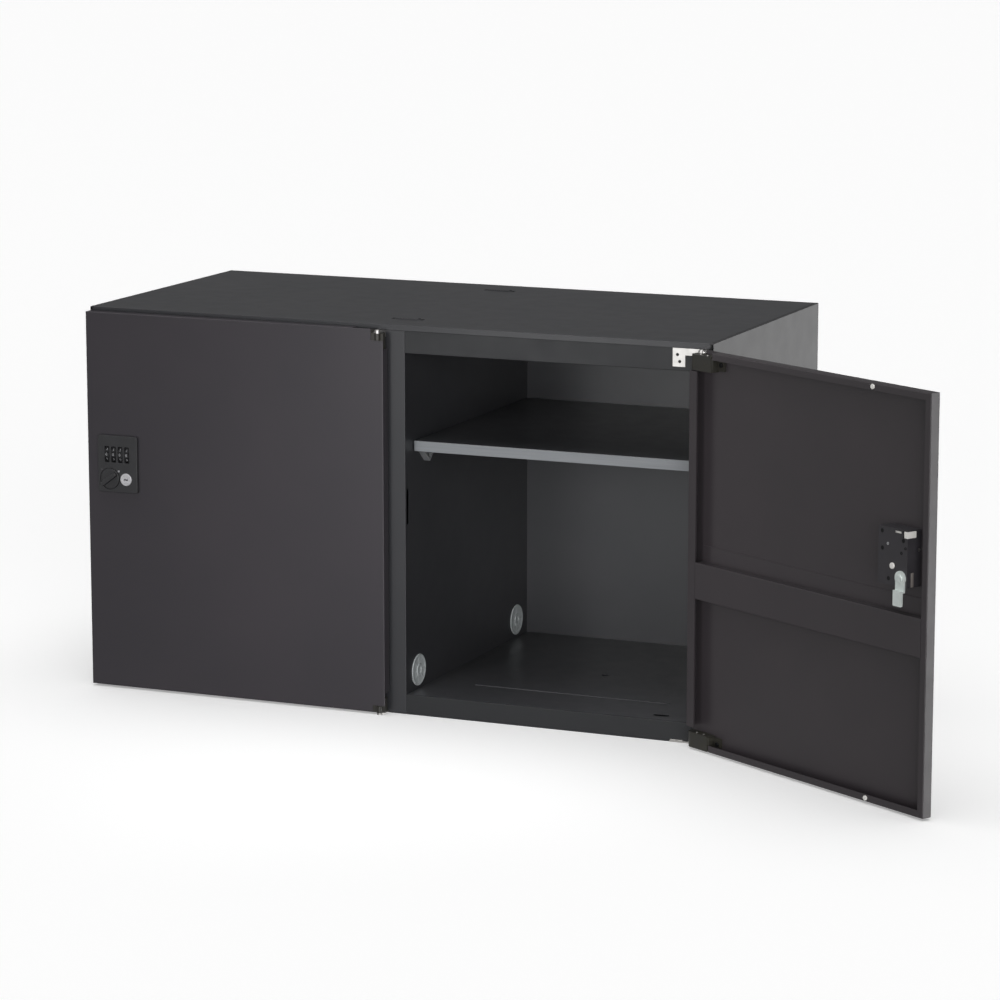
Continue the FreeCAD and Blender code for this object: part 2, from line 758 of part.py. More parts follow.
def case_screw_places(side):
    """Screws in the case's inner face."""
    x0, z1 = DOORS[side] + case_inset, case_bottom + case_height
    return [(x0 + inset, z1 - drop) for inset, drop in CASE_SCREWS]


def lock_case(side):
    """Hollow case on the door's inside, with holes for spindle, button, shaft and lever."""
    x0 = DOORS[side] + case_inset
    x1, z0, z1 = x0 + case_width, case_bottom, case_bottom + case_height
    case = rounded_box(x0, door_skin, z0, x1, case_face, z1, case_corner, Y_AXIS)
    case = case.cut(box(x0 + case_wall, door_skin - TOUCH, z0 + case_wall,
                        x1 - case_wall, case_face - case_wall, z1 - case_wall))
    depth = case_face - door_outer + TOUCH
    for x, z, radius in ((DOORS[side] + knob_inset, knob_height, spindle_radius),
                         (DOORS[side] + button_x, button_z, button_radius)):
        case = case.cut(rod(radius + lock_clearance, V(x, door_outer, z), Y_AXIS, depth))
    case = case.cut(rod(shaft_radius, V(x0 - TOUCH, dial_y(), dial_height), X_AXIS, case_width + 2 * TOUCH))
    case = case.cut(lever_notch(side)).cut(lever_slot(side))
    for x, z in case_screw_places(side):
        case = case.cut(rod(case_screw_recess, V(x, case_face - case_screw_depth, z), Y_AXIS,
                            case_screw_depth + TOUCH))
    return case


def case_screws(side):
    """Screws sunk in the case's inner face."""
    return [rod(case_screw_radius, V(x, case_face - case_screw_depth, z), Y_AXIS, case_screw_head)
            for x, z in case_screw_places(side)]


def lever_notch(side):
    """Notch in the case's upper corner where the lever's thumb piece slides."""
    x0 = DOORS[side] + case_inset
    z1 = case_bottom + case_height - lever_below_top
    return box(x0 - TOUCH, case_face - lever_depth - lever_gap, z1 - lever_height - lever_gap,
               x0 + lever_width + lever_travel + lever_gap, case_face + TOUCH, z1 + lever_gap)


def lever_arm_z():
    """Lower side of the lever's arm, just under the case's top wall."""
    return case_bottom + case_height - case_wall - lever_gap - lever_arm_height


def lever_slot(side):
    """Slot in the case's inner face that shows the lever's arm."""
    x0 = DOORS[side] + case_inset + lever_slot_inset
    z0 = lever_arm_z() + (lever_arm_height - lever_slot_height) / 2
    return box(x0, case_face - case_wall - TOUCH, z0, x0 + lever_slot_length, case_face + TOUCH,
               z0 + lever_slot_height)


def setting_lever(side):
    """Sliding lever: a thumb piece on the case's corner and an arm behind its inner face."""
    x0 = DOORS[side] + case_inset
    z1 = case_bottom + case_height - lever_below_top
    thumb = rounded_box(x0, case_face - lever_depth, z1 - lever_height, x0 + lever_width,
                        case_face + lever_proud, z1, small_edge, X_AXIS)
    y1, z0 = case_face - case_wall - lever_gap, lever_arm_z()
    arm = box(x0 + lever_width - TOUCH, y1 - lever_arm_thickness, z0,
              x0 + lever_width + lever_arm_length, y1, z0 + lever_arm_height)
    return fuse([thumb, arm])


def setting_button(side):
    """Round button through the case's inner face."""
    button = rod(button_radius, V(DOORS[side] + button_x, case_face - case_wall - button_inside, button_z),
                 Y_AXIS, case_wall + button_inside + button_proud)
    return button.makeFillet(small_edge, [max(button.Edges, key=lambda e: e.CenterOfMass.y)])


def key_barrel(side):
    """Cylinder lock's outer barrel, open towards the key and closed at its inner end."""
    x = DOORS[side] + key_inset
    y0 = door_outer - plate_thickness - barrel_proud
    length = case_face - case_wall - seam - y0
    barrel = rod(barrel_radius, V(x, y0, knob_height), Y_AXIS, length)
    barrel = barrel.makeFillet(small_edge, [min(barrel.Edges, key=lambda e: e.CenterOfMass.y)])
    return barrel.cut(rod(plug_radius + lock_clearance, V(x, y0 - TOUCH, knob_height), Y_AXIS,
                          length - barrel_end + TOUCH))


def key_plug(side):
    """Turning plug with its keyway lying level."""
    x = DOORS[side] + key_inset
    y0 = door_outer - plate_thickness - barrel_proud + plug_sunk
    plug = rod(plug_radius, V(x, y0, knob_height), Y_AXIS, plug_length)
    return plug.cut(box(x - keyway_length / 2, y0 - TOUCH, knob_height - keyway_width / 2,
                        x + keyway_length / 2, y0 + keyway_depth, knob_height + keyway_width / 2))


def dial(side, index):
    """Number wheel on the shaft, bevelled at both rims."""
    x = dial_places(side)[index] - dial_width / 2
    wheel = rod(dial_radius, V(x, dial_y(), dial_height), X_AXIS, dial_width)
    wheel = wheel.makeChamfer(dial_edge, [e for e in wheel.Edges if e.Curve.TypeId == "Part::GeomCircle"])
    return wheel.cut(rod(shaft_radius + lock_clearance, V(x - TOUCH, dial_y(), dial_height), X_AXIS,
                         dial_width + 2 * TOUCH))


def dial_shaft(side):
    """Shaft of all the dials, held in the case's two sides."""
    return rod(shaft_radius, V(DOORS[side] + case_inset, dial_y(), dial_height), X_AXIS, case_width)


def knob(side):
    """Turn knob: disc, grip bar across it, and the spindle through the door."""
    x = DOORS[side] + knob_inset
    y1 = door_outer - plate_thickness + knob_pocket_depth - knob_gap
    y0 = y1 - knob_disc
    disc = rod(knob_radius, V(x, y0, knob_height), Y_AXIS, knob_disc)
    disc = disc.makeFillet(knob_edge, [min(disc.Edges, key=lambda e: e.CenterOfMass.y)])
    reach = knob_radius - knob_grip_inset
    grip = rounded_box(x - reach, y0 - knob_grip_height, knob_height - knob_grip_width / 2,
                       x + reach, y0 + TOUCH, knob_height + knob_grip_width / 2,
                       knob_grip_end, Y_AXIS)
    grip = grip.makeFillet(knob_grip_edge, [e for e in grip.Edges
                                            if abs(e.CenterOfMass.y - (y0 - knob_grip_height)) < 1e-6])
    grip.rotate(V(x, 0, knob_height), V(0, -1, 0), knob_angle)
    spindle = rod(spindle_radius, V(x, y0 + TOUCH, knob_height), Y_AXIS, case_face + cam_gap - y0 - TOUCH)
    return fuse([disc, grip, spindle])


def cam(side):
    """Joggled cam on the spindle's end, pointing down when unlocked."""
    x = DOORS[side] + knob_inset
    y0 = case_face + cam_gap
    y1 = y0 + cam_joggle
    z, w = knob_height, cam_width / 2
    head = rod(cam_head, V(x, y0, z), Y_AXIS, cam_thickness)
    upper = box(x - w, y0, z - cam_step, x + w, y0 + cam_thickness, z)
    step = box(x - w, y0, z - cam_step - cam_thickness, x + w, y1 + cam_thickness, z - cam_step)
    tip = rounded_box(x - w, y1, z - cam_reach, x + w, y1 + cam_thickness, z - cam_step, cam_corner, Y_AXIS)
    root = box(x - w, y1, z - cam_step - 2 * cam_corner, x + w, y1 + cam_thickness, z - cam_step)
    return fuse([head, upper, step, tip, root])


def cam_screw(side):
    """Slotted screw that holds the cam on the spindle."""
    x = DOORS[side] + knob_inset
    y0 = case_face + cam_gap + cam_thickness
    head = rod(cam_screw_radius, V(x, y0, knob_height), Y_AXIS, cam_screw_head)
    head = head.makeFillet(small_edge, [max(head.Edges, key=lambda e: e.CenterOfMass.y)])
    return head.cut(box(x - 2 * cam_screw_radius, y0 + cam_screw_head / 2, knob_height - cam_screw_slot / 2,
                        x + 2 * cam_screw_radius, y0 + 2 * cam_screw_head, knob_height + cam_screw_slot / 2))


# ================================================================ assembly
def door_parts(side):
    """Every piece that turns with one door, in its closed place."""
    both = (True, False)
    parts = {
        "door_panel": door_shell(side),
        "door_stiffener": door_stiffener(side),
        "hinge_blocks": Part.makeCompound([hinge_block(side, u) for u in both]),
        "hinge_screws": Part.makeCompound([hinge_screw(side, u) for u in both]),
        "door_bumpers": Part.makeCompound([bumper(side, z) for z in
                                           (door_top - door_lip / 2, door_bottom + door_lip / 2)]),
        "lock_plate": lock_plate(side),
        "lock_case": lock_case(side),
        "case_screws": Part.makeCompound(case_screws(side)),
        "dial_shaft": dial_shaft(side),
        "key_barrel": key_barrel(side),
        "key_plug": key_plug(side),
        "knob": knob(side),
        "lock_cam": cam(side),
        "cam_screw": cam_screw(side),
        "setting_lever": setting_lever(side),
        "setting_button": setting_button(side),
    }
    for i in range(dial_count):
        parts["dial_%d" % (i + 1)] = dial(side, i)
    return parts


def build():
    os.makedirs("parts", exist_ok=True)
    for side in DOORS:
        export(side + "_side_panel", side_panel(side))
        export(side + "_shelf", shelf(side))
        export(side + "_shelf_trim", shelf_trim(side))
        for name, shape in door_parts(side).items():
            if side == "right":
                shape.rotate(V(pivot_x(side), pivot_y, 0), Z_AXIS, right_door_open)
            export(side + "_" + name, shape)
    export("top_panel", top_panel())
    export("bottom_panel", bottom_panel())
    export("back_panel", back_panel())
    export("centre_partition", partition())
    export("floor_trays", Part.makeCompound([floor_tray(side) for side in DOORS]))
    export("top_rails", Part.makeCompound([top_rail(side) for side in DOORS]))
    export("bottom_rails", Part.makeCompound([bottom_rail(side) for side in DOORS]))
    export("shelf_clips", shelf_clips())
    export("wall_caps", Part.makeCompound([wall_cap(s, y) for s in (-1, 1) for y in cap_places()]))
    export("hinge_brackets", Part.makeCompound([f(side) for side in DOORS
                                                for f in (upper_bracket, lower_bracket)]))
    export("hinge_pins", Part.makeCompound([hinge_pin(side, u) for side in DOORS for u in (True, False)]))
    export("bracket_screws", Part.makeCompound(bracket_screws()))


build()
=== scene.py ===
"""Finishes and fine detail of a two-door steel parcel drop box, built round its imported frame.

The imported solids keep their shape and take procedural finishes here. The pieces made here are what a
mould, a press or a printer adds to them: numbered dial rings, ribbed wall caps, hinge rivets and plates,
the lock case's fittings and the index marks beside the knob. Lengths are metres; a name that ends in _mm
is in millimetres.
"""

import json
import logging
import math
from dataclasses import dataclass
from enum import Enum
from typing import Any, Mapping, Sequence

import bmesh
import bpy
import numpy as np
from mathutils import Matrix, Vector

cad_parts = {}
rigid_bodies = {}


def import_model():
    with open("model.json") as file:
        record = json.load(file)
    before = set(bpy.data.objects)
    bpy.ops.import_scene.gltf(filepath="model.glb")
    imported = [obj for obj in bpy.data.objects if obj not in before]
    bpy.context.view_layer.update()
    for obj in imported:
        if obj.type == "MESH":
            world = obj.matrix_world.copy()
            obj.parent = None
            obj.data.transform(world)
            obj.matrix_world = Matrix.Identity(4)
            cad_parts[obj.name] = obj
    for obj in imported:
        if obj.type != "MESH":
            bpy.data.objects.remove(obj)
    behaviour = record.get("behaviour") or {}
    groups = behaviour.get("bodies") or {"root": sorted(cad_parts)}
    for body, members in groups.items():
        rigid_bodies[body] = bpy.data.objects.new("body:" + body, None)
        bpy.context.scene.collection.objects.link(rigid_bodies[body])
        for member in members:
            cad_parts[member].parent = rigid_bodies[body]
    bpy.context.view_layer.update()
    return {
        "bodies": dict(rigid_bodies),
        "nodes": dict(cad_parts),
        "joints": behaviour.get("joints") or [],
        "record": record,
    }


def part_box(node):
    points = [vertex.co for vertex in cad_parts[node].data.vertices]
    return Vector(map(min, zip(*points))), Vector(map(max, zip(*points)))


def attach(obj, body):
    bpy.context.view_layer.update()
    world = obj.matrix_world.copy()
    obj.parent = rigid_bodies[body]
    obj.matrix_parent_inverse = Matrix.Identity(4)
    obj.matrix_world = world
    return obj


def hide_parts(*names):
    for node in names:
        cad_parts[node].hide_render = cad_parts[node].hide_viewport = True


LOG = logging.getLogger("parcel_box")
MM = 0.001
SIDES = ("left", "right")
NOISE_ROUGHNESS = 0.55
NOISE_LOW = 0.3
NOISE_HIGH = 0.7
DOUBLE_REACH = 1e-7
SPECK_REACH = 1e-8
ROUND_STEPS = 48
QUARTER_TURNS = 4
DIGITS = 10
DOME_STEPS = 6
FIGURE_ROUNDING = 3
SENSOR_WIDTH_MM = 36.0


# ------------------------------------------------------------------ colour and nodes
def linear(code: str) -> tuple[float, float, float, float]:
    """Turn an sRGB hex colour such as "#353437" into opaque linear light: red, green, blue and 1."""
    parts = [int(code[i:i + 2], 16) / 255 for i in (1, 3, 5)]
    light = [c / 12.92 if c <= 0.04045 else ((c + 0.055) / 1.055) ** 2.4 for c in parts]
    return light[0], light[1], light[2], 1.0


def add_node(tree: bpy.types.NodeTree, kind: str, settings: Mapping[Any, Any] | None = None,
             links: Mapping[Any, bpy.types.NodeSocket] | None = None) -> bpy.types.Node:
    """Add one shader node.

    Args:
        tree: node tree that gets it.
        kind: node type, such as "ShaderNodeTexNoise".
        settings: values by input name or index, or by property name.
        links: output sockets to join to its inputs.

    Returns:
        The new node.
    """
    node = tree.nodes.new(kind)
    for key, value in (settings or {}).items():
        if isinstance(key, str) and key not in node.inputs:
            setattr(node, key, value)
        else:
            node.inputs[key].default_value = value
    for key, socket in (links or {}).items():
        tree.links.new(socket, node.inputs[key])
    return node


def new_material(name: str) -> tuple[bpy.types.Material, bpy.types.Node]:
    """Make an empty node material.

    Args:
        name: the material's name.

    Returns:
        The material and its one Principled shader, already joined to the output.
    """
    material = bpy.data.materials.new(name)
    material.use_nodes = True
    tree = material.node_tree
    tree.nodes.clear()
    shader = add_node(tree, "ShaderNodeBsdfPrincipled")
    add_node(tree, "ShaderNodeOutputMaterial", links={"Surface": shader.outputs["BSDF"]})
    return material, shader


def wire(material: bpy.types.Material, shader: bpy.types.Node,
         links: Mapping[str, bpy.types.NodeSocket]) -> bpy.types.Material:
    """Join output sockets to a shader's inputs and give the material back."""
    for key, socket in links.items():
        material.node_tree.links.new(socket, shader.inputs[key])
    return material


def object_place(tree: bpy.types.NodeTree,
                 stretch: Sequence[float] = (1.0, 1.0, 1.0)) -> bpy.types.NodeSocket:
    """Give the pattern's own place: Object coordinates, stretched along the axes that need it."""
    coords = add_node(tree, "ShaderNodeTexCoord")
    mapping = add_node(tree, "ShaderNodeMapping", {"Scale": tuple(stretch)},
                       {"Vector": coords.outputs["Object"]})
    return mapping.outputs["Vector"]


def grain(tree: bpy.types.NodeTree, place: bpy.types.NodeSocket, size_mm: float,
          detail: float = 2.0) -> bpy.types.NodeSocket:
    """Give a noise whose features are one real size.

    Args:
        tree: node tree to build in.
        place: coordinates to read.
        size_mm: size of one feature in millimetres.
        detail: octaves of finer noise in it.

    Returns:
        The noise value, about 0.5 on average.
    """
    noise = add_node(tree, "ShaderNodeTexNoise", {"Scale": 1 / (size_mm * MM), "Detail": detail,
                                                  "Roughness": NOISE_ROUGHNESS}, {"Vector": place})
    return noise.outputs["Fac"]


def spread(tree: bpy.types.NodeTree, value: bpy.types.NodeSocket, low: float,
           high: float) -> bpy.types.NodeSocket:
    """Stretch the middle of a noise over a range from low to high, clamped at both ends."""
    node = add_node(tree, "ShaderNodeMapRange", {"From Min": NOISE_LOW, "From Max": NOISE_HIGH, "To Min": low,
                                                 "To Max": high}, {"Value": value})
    return node.outputs["Result"]


def blend_colours(tree: bpy.types.NodeTree, share: bpy.types.NodeSocket, first: str,
                  second: str) -> bpy.types.NodeSocket:
    """Mix two sRGB hex colours by a share from 0, all first, to 1, all second."""
    node = add_node(tree, "ShaderNodeMix", {"data_type": "RGBA", 6: linear(first), 7: linear(second)},
                    {0: share})
    return node.outputs[2]


def raise_surface(tree: bpy.types.NodeTree, height: bpy.types.NodeSocket, depth_mm: float,
                  strength: float) -> bpy.types.NodeSocket:
    """Turn a height from 0 to 1 into a bumped normal, depth_mm being its real depth."""
    node = add_node(tree, "ShaderNodeBump", {"Strength": strength, "Distance": depth_mm * MM},
                    {"Height": height})
    return node.outputs["Normal"]


# ------------------------------------------------------------------ finishes
class Slot(Enum):
    """The record's material slots."""

    CHARCOAL = "charcoal_paint"
    TRIM = "trim_grey"
    CAP = "cap_grey"
    ZINC = "zinc_steel"
    NICKEL = "nickel"
    BLACK_SCREW = "black_screw"
    WHITE = "white_resin"
    BLACK = "black_resin"


@dataclass(frozen=True)
class PowderCoat:
    """Matt charcoal polyester powder, baked on steel.

    To the eye it is an even dark grey with a soft sheen, faint clouds where the film's thickness changes,
    and an orange-peel skin. Real orange peel is about 1.5 mm across; it is drawn a little coarser to show.
    """

    name: str
    base: str
    cloud: str
    roughness_low: float = 0.37
    roughness_high: float = 0.40
    peel_mm: float = 2.2
    peel_depth_mm: float = 0.05
    peel_strength: float = 0.05
    cloud_mm: float = 140.0
    cloud_detail: float = 3.0
    peel_detail: float = 1.5
    sheen_mm: float = 26.4
    slot: Slot = Slot.CHARCOAL

    def material(self) -> bpy.types.Material:
        """Build the finish."""
        material, shader = new_material(self.name)
        tree = material.node_tree
        place = object_place(tree)
        clouds = grain(tree, place, self.cloud_mm, self.cloud_detail)
        colour = blend_colours(tree, spread(tree, clouds, 0.0, 1.0), self.base, self.cloud)
        peel = grain(tree, place, self.peel_mm, self.peel_detail)
        sheen = grain(tree, place, self.sheen_mm)
        return wire(material, shader, {
            "Base Color": colour,
            "Roughness": spread(tree, sheen, self.roughness_low, self.roughness_high),
            "Normal": raise_surface(tree, peel, self.peel_depth_mm, self.peel_strength)})


@dataclass(frozen=True)
class MouldedResin:
    """Injection-moulded ABS or nylon with a spark-eroded skin.

    To the eye it is an even colour with a fine matt grain. The real grain is 0.2 mm; it is drawn at
    grain_mm so that it shows close up.
    """

    name: str
    base: str
    worn: str
    slot: Slot
    roughness_low: float = 0.42
    roughness_high: float = 0.55
    grain_mm: float = 0.6
    grain_depth_mm: float = 0.03
    grain_strength: float = 0.5
    patch_grains: float = 30.0
    patch_detail: float = 3.0

    def material(self) -> bpy.types.Material:
        """Build the finish."""
        material, shader = new_material(self.name)
        tree = material.node_tree
        place = object_place(tree)
        skin = grain(tree, place, self.grain_mm)
        patches = grain(tree, place, self.grain_mm * self.patch_grains, self.patch_detail)
        return wire(material, shader, {
            "Base Color": blend_colours(tree, spread(tree, patches, 0.0, 1.0), self.base, self.worn),
            "Roughness": spread(tree, patches, self.roughness_low, self.roughness_high),
            "Normal": raise_surface(tree, skin, self.grain_depth_mm, self.grain_strength)})


@dataclass(frozen=True)
class PlatedMetal:
    """Plated or blackened steel, rolled or turned before plating.

    To the eye it is bright metal with fine drawn lines along one axis and slow patches in the plating.
    The real lines are about 0.1 mm apart; they are drawn at line_mm so that they show close up.
    """

    name: str
    base: str
    dull: str
    slot: Slot
    roughness_low: float = 0.28
    roughness_high: float = 0.42
    line_mm: float = 0.35
    line_stretch: float = 0.04
    line_depth_mm: float = 0.01
    line_strength: float = 0.4
    patch_lines: float = 40.0
    patch_detail: float = 3.0
    metallic: float = 1.0

    def material(self) -> bpy.types.Material:
        """Build the finish."""
        material, shader = new_material(self.name)
        tree = material.node_tree
        lines = grain(tree, object_place(tree, (self.line_stretch, 1.0, 1.0)), self.line_mm, 1.0)
        patches = grain(tree, object_place(tree), self.line_mm * self.patch_lines, self.patch_detail)
        shader.inputs["Metallic"].default_value = self.metallic
        return wire(material, shader, {
            "Base Color": blend_colours(tree, spread(tree, patches, 0.0, 1.0), self.base, self.dull),
            "Roughness": spread(tree, lines, self.roughness_low, self.roughness_high),
            "Normal": raise_surface(tree, lines, self.line_depth_mm, self.line_strength)})


@dataclass(frozen=True)
class SatinEdging:
    """Light grey extruded PVC edging on a shelf's front.

    To the eye it is a satin grey strip with faint lines along its length, 0.8 mm apart.
    """

    name: str = "pvc_edging_grey"
    base: str = "#84878a"
    line: str = "#7b7e82"
    line_mm: float = 0.8
    line_stretch: float = 0.01
    line_depth_mm: float = 0.04
    line_strength: float = 0.4
    roughness: float = 0.4
    slot: Slot = Slot.TRIM

    def material(self) -> bpy.types.Material:
        """Build the finish."""
        material, shader = new_material(self.name)
        tree = material.node_tree
        lines = grain(tree, object_place(tree, (self.line_stretch, 1.0, 1.0)), self.line_mm)
        shader.inputs["Roughness"].default_value = self.roughness
        return wire(material, shader, {
            "Base Color": blend_colours(tree, spread(tree, lines, 0.0, 1.0), self.base, self.line),
            "Normal": raise_surface(tree, lines, self.line_depth_mm, self.line_strength)})


FINISHES = {
    # The six powder coats below are one paint. Each copy after the first is made lighter, darker or tinted to
    # stand for the light on its parts, so these differences are painted light and painted shade.
    "carcass": PowderCoat("powder_coat_charcoal", "#343538", "#38383b"),
    # Painted light: the left door's copy carries a cool tint for the light on its closed front.
    "left_door": PowderCoat("powder_coat_charcoal_painted_cool_light", "#38353a", "#3c383d"),
    # Painted light: the right door's copy carries a warm tint for the light on its open inner face.
    "right_door": PowderCoat("powder_coat_charcoal_painted_warm_light", "#393538", "#3d383b"),
    # Painted shade: the side panels' copy is darker because those faces are in shade.
    "side": PowderCoat("powder_coat_charcoal_painted_shade_side", "#2b2c2e", "#2f2f31"),
    # Painted light: the copy for the back, floor trays and shelves is lighter, standing for light that
    # reaches into the bays.
    "lining": PowderCoat("powder_coat_charcoal_painted_light_lining", "#434447", "#48484b", 0.31, 0.35),
    # Painted shade: the rails' copy is darker because they sit in shade.
    "frame": PowderCoat("powder_coat_charcoal_painted_shade_frame", "#242528", "#28292b", 0.5, 0.6),
    "edging": SatinEdging(),
    "cap": MouldedResin("polypropylene_pale_grey", "#c0c5c6", "#b4babb", Slot.CAP, grain_mm=0.8),
    "black": MouldedResin("abs_black", "#323234", "#373739", Slot.BLACK),
    "case": MouldedResin("abs_black_case", "#343236", "#39373b", Slot.BLACK),
    "dial": MouldedResin("acetal_black", "#202022", "#262628", Slot.BLACK, 0.34, 0.44, grain_mm=0.5),
    "knob": MouldedResin("nylon_black", "#303032", "#363638", Slot.BLACK, 0.32, 0.42),
    "hinge": MouldedResin("glass_filled_nylon_black", "#2c2b28", "#333129", Slot.BLACK, 0.36, 0.5),
    "white": MouldedResin("acetal_white", "#f6f4f0", "#ebe8e2", Slot.WHITE, 0.3, 0.4),
    "ink": MouldedResin("white_enamel_ink", "#a9a9ac", "#9c9c9f", Slot.WHITE, 0.5, 0.6, grain_mm=0.3),
    "faded": MouldedResin("grey_enamel_ink", "#4b4b4e", "#424245", Slot.TRIM, 0.5, 0.6, grain_mm=0.3),
    "rib": MouldedResin("acetal_grey", "#77716d", "#6c6764", Slot.CAP, 0.45, 0.55),
    "cam": PlatedMetal("bright_zinc_plated_steel", "#eef4f1", "#dfe8e5", Slot.ZINC, 0.45, 0.6, metallic=0.35),
    "zinc": PlatedMetal("zinc_plated_steel", "#d2d0ce", "#bdbbb8", Slot.ZINC),
    "clip": PlatedMetal("zinc_flake_coated_spring_steel", "#b9bbbd", "#a5a7a9", Slot.ZINC, metallic=0.45),
    "nickel": PlatedMetal("satin_nickel", "#ecebed", "#dddce0", Slot.NICKEL, 0.30, 0.40, metallic=0.6),
    "screw": PlatedMetal("blackened_steel", "#1b1b1c", "#242425", Slot.BLACK_SCREW, 0.4, 0.5, metallic=0.6),
}


# ------------------------------------------------------------------ surfaces
@dataclass
class Surface:
    """Points and faces worked out as arrays, before they become a mesh."""

    points: np.ndarray
    faces: list[tuple[int, ...]]

    @staticmethod
    def grid(points: np.ndarray, wrap_u: bool, wrap_v: bool) -> "Surface":
        """Join a grid of points with quads.

        Args:
            points: array of shape (u, v, 3).
            wrap_u: whether the last row joins the first.
            wrap_v: whether the last column joins the first.

        Returns:
            The surface. Face (i, j) has corners (i, j), (i+1, j), (i+1, j+1) and (i, j+1).
        """
        nu, nv = points.shape[:2]
        rows, columns = (nu if wrap_u else nu - 1), (nv if wrap_v else nv - 1)
        i, j = np.meshgrid(np.arange(rows), np.arange(columns), indexing="ij")
        k, m = (i + 1) % nu, (j + 1) % nv
        quads = np.stack([i * nv + j, k * nv + j, k * nv + m, i * nv + m], axis=-1).reshape(-1, 4)
        return Surface(points.reshape(-1, 3), [tuple(q) for q in quads.tolist()])

    @staticmethod
    def revolved(radii: np.ndarray, heights: np.ndarray, wrap: bool) -> "Surface":
        """Turn a profile about Z: point (t, k) is (r cos t, r sin t, h).

        Args:
            radii: array of shape (angles, profile points), or (profile points,) where r is even.
            heights: array of the same kind.
            wrap: whether the profile is a closed loop.

        Returns:
            The surface of revolution.
        """
        steps = radii.shape[0] if radii.ndim == 2 else ROUND_STEPS
        turn = np.linspace(0, 2 * math.pi, steps, endpoint=False)[:, None]
        r, h = np.broadcast_arrays(np.atleast_2d(radii) + 0 * turn, np.atleast_2d(heights) + 0 * turn)
        return Surface.grid(np.stack([r * np.cos(turn), r * np.sin(turn), h], axis=-1), True, wrap)

    @staticmethod
    def slab(half: Sequence[float], radius: float, steps: int = 3) -> "Surface":
        """Box with every edge rounded: a sphere's point n times radius, plus the corner it belongs to.

        Args:
            half: half sizes along X, Y and Z.
            radius: radius of the edges, at most the smallest half size.
            steps: divisions of each quarter turn.

        Returns:
            The closed surface, centred on the origin.
        """
        quarter = np.linspace(0, math.pi / 2, steps + 1)
        u = np.concatenate([quarter + k * math.pi / 2 for k in range(QUARTER_TURNS)])
        corner = np.repeat(np.arange(QUARTER_TURNS), steps + 1)
        sx, sy = np.where((corner == 0) | (corner == 3), 1, -1), np.where(corner < 2, 1, -1)
        v = np.concatenate([quarter - math.pi / 2, quarter])
        sz = np.repeat([-1, 1], steps + 1)
        flat = np.array(half) - radius
        nx, ny = np.outer(np.cos(u), np.cos(v)), np.outer(np.sin(u), np.cos(v))
        nz = np.broadcast_to(np.sin(v), nx.shape)
        points = np.stack([sx[:, None] * flat[0] + radius * nx, sy[:, None] * flat[1] + radius * ny,
                           sz[None, :] * flat[2] + radius * nz], axis=-1)
        made = Surface.grid(points, True, False)
        columns = len(v)
        ends = [k * (steps + 1) * columns for k in range(QUARTER_TURNS)]
        made.faces.append(tuple(reversed(ends)))
        made.faces.append(tuple(end + columns - 1 for end in ends))
        return made

    def placed(self, turn: np.ndarray, shift: Sequence[float]) -> "Surface":
        """Give a turned and shifted copy.

        Args:
            turn: 3x3 rotation.
            shift: where its origin goes.

        Returns:
            The copy, with the same faces.
        """
        return Surface(self.points @ np.asarray(turn, float).T + np.asarray(shift, float), self.faces)

    @staticmethod
    def joined(parts: Sequence["Surface"]) -> "Surface":
        """Put several surfaces into one."""
        faces: list[tuple[int, ...]] = []
        start = 0
        for part in parts:
            faces += [tuple(k + start for k in face) for face in part.faces]
            start += len(part.points)
        return Surface(np.concatenate([p.points for p in parts]), faces)

    def piece(self, name: str, smooth_angle: float = 35.0) -> bpy.types.Object:
        """Make the mesh object: doubles merged, faces outward, smooth below an angle.

        Args:
            name: the piece's name.
            smooth_angle: edges bent by more than this many degrees stay sharp.

        Returns:
            The object, at the origin, in the scene.
        """
        mesh = bpy.data.meshes.new(name)
        mesh.from_pydata(self.points.tolist(), [], self.faces)
        tidy_mesh(mesh)
        mesh.set_sharp_from_angle(angle=math.radians(smooth_angle))
        made = bpy.data.objects.new(name, mesh)
        bpy.context.scene.collection.objects.link(made)
        return made


def tidy_mesh(mesh: bpy.types.Mesh) -> None:
    """Merge doubles, drop faces with no area and point every closed shell outward."""
    work = bmesh.new()
    work.from_mesh(mesh)
    bmesh.ops.remove_doubles(work, verts=work.verts, dist=DOUBLE_REACH)
    bmesh.ops.dissolve_degenerate(work, edges=work.edges, dist=SPECK_REACH)
    bmesh.ops.recalc_face_normals(work, faces=work.faces)
    work.to_mesh(mesh)
    work.free()
    mesh.polygons.foreach_set("use_smooth", np.ones(len(mesh.polygons), bool))


def axes(x: Sequence[float], y: Sequence[float], z: Sequence[float]) -> np.ndarray:
    """Rotation that sends a shape's own X, Y and Z to three directions."""
    return np.array([x, y, z], float).T


def dome(radius: float, height: float) -> Surface:
    """Round button head on z = 0: r = radius cos a and h = height sin a, closed underneath."""
    a = np.linspace(0, math.pi / 2, DOME_STEPS)
    return Surface.revolved(np.append(0, radius * np.cos(a)), np.append(0, height * np.sin(a)), False)


